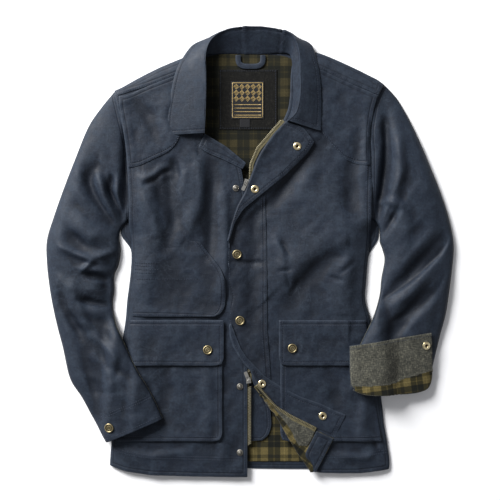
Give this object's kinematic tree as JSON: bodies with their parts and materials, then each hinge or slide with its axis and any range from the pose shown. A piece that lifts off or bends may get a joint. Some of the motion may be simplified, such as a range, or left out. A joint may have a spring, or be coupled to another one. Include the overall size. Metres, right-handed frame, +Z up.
{
  "type": "waxed cotton jacket",
  "caption": "Hip-length waxed cotton field jacket laid flat, with collar, storm flap over a two-way zip, flap pockets and one cuff turned back.",
  "frame": {"origin": "on the flat underside of the back, on the centre line", "axes": "+X to the wearer's left, +Y from hem to neck, +Z up from the surface it lies on"},
  "size_m": [0.7541, 0.8321, 0.0404],
  "materials": {
    "waxed_cotton": "waxed, soft low sheen",
    "check_lining": "brushed cotton check",
    "tweed": "wool tweed",
    "zip_tape": "woven tape",
    "brass": "aged",
    "zip_metal": "satin",
    "label": "woven satin"
  },
  "bodies": {
    "jacket": {"back": "waxed_cotton", "back_lining": "check_lining", "front_right": "waxed_cotton", "front_left": "waxed_cotton", "front_left_corner": "check_lining", "corner_facing": "tweed", "corner_hem_facing": "waxed_cotton", "yoke_right": "waxed_cotton", "yoke_left": "waxed_cotton", "shoulder_right": "waxed_cotton", "shoulder_left": "waxed_cotton", "handwarmer_right": "waxed_cotton", "neckband_right": "waxed_cotton", "storm_flap": "waxed_cotton", "storm_flap_head": "waxed_cotton", "storm_flap_foot": "waxed_cotton", "pocket_right": "waxed_cotton", "pocket_flap_right": "waxed_cotton", "pocket_left": "waxed_cotton", "pocket_flap_left": "waxed_cotton", "sleeve_right_top": "waxed_cotton", "sleeve_right_under": "waxed_cotton", "sleeve_left_top": "waxed_cotton", "sleeve_left_under": "waxed_cotton", "cuff_left_top": "tweed", "cuff_left_under": "tweed", "collar_stand": "waxed_cotton", "collar_fall": "waxed_cotton", "neck_patch": "tweed", "neck_label": "label", "size_tab": "label", "hanger_loop": "waxed_cotton", "zip_guard": "waxed_cotton", "zip_tape_right": "zip_tape", "zip_tape_left": "zip_tape", "zip_tape_neck": "zip_tape", "zip_chain": "brass", "zip_chain_open": "brass", "upper_slider": "brass", "lower_slider": "zip_metal", "flap_cap_upper": "brass", "flap_cap_lower": "brass", "pocket_cap_right": "brass", "pocket_cap_left": "brass", "flap_socket_head": "brass", "flap_socket_neck": "brass", "flap_socket_foot": "brass", "flap_socket_corner": "brass", "front_stud_lower": "brass", "front_stud_hem": "brass", "front_stud_neck": "brass", "cuff_cap_right": "brass", "cuff_socket_left": "brass"},
    "upper_pull_tab": {"upper_pull": "brass"},
    "lower_pull_tab": {"lower_pull": "zip_metal"}
  },
  "joints": [
    {"name": "upper_pull_hinge", "type": "hinge", "parent": "jacket", "child": "upper_pull_tab", "pos_m": [-0.0064, 0.125, 0.0179], "axis": [-0.9004, 0.435, 0], "range_deg": [0, 150]},
    {"name": "lower_pull_hinge", "type": "hinge", "parent": "jacket", "child": "lower_pull_tab", "pos_m": [-0.0028, -0.24, 0.01652], "axis": [0.9359, 0.3523, 0], "range_deg": [0, 150]}
  ]
}
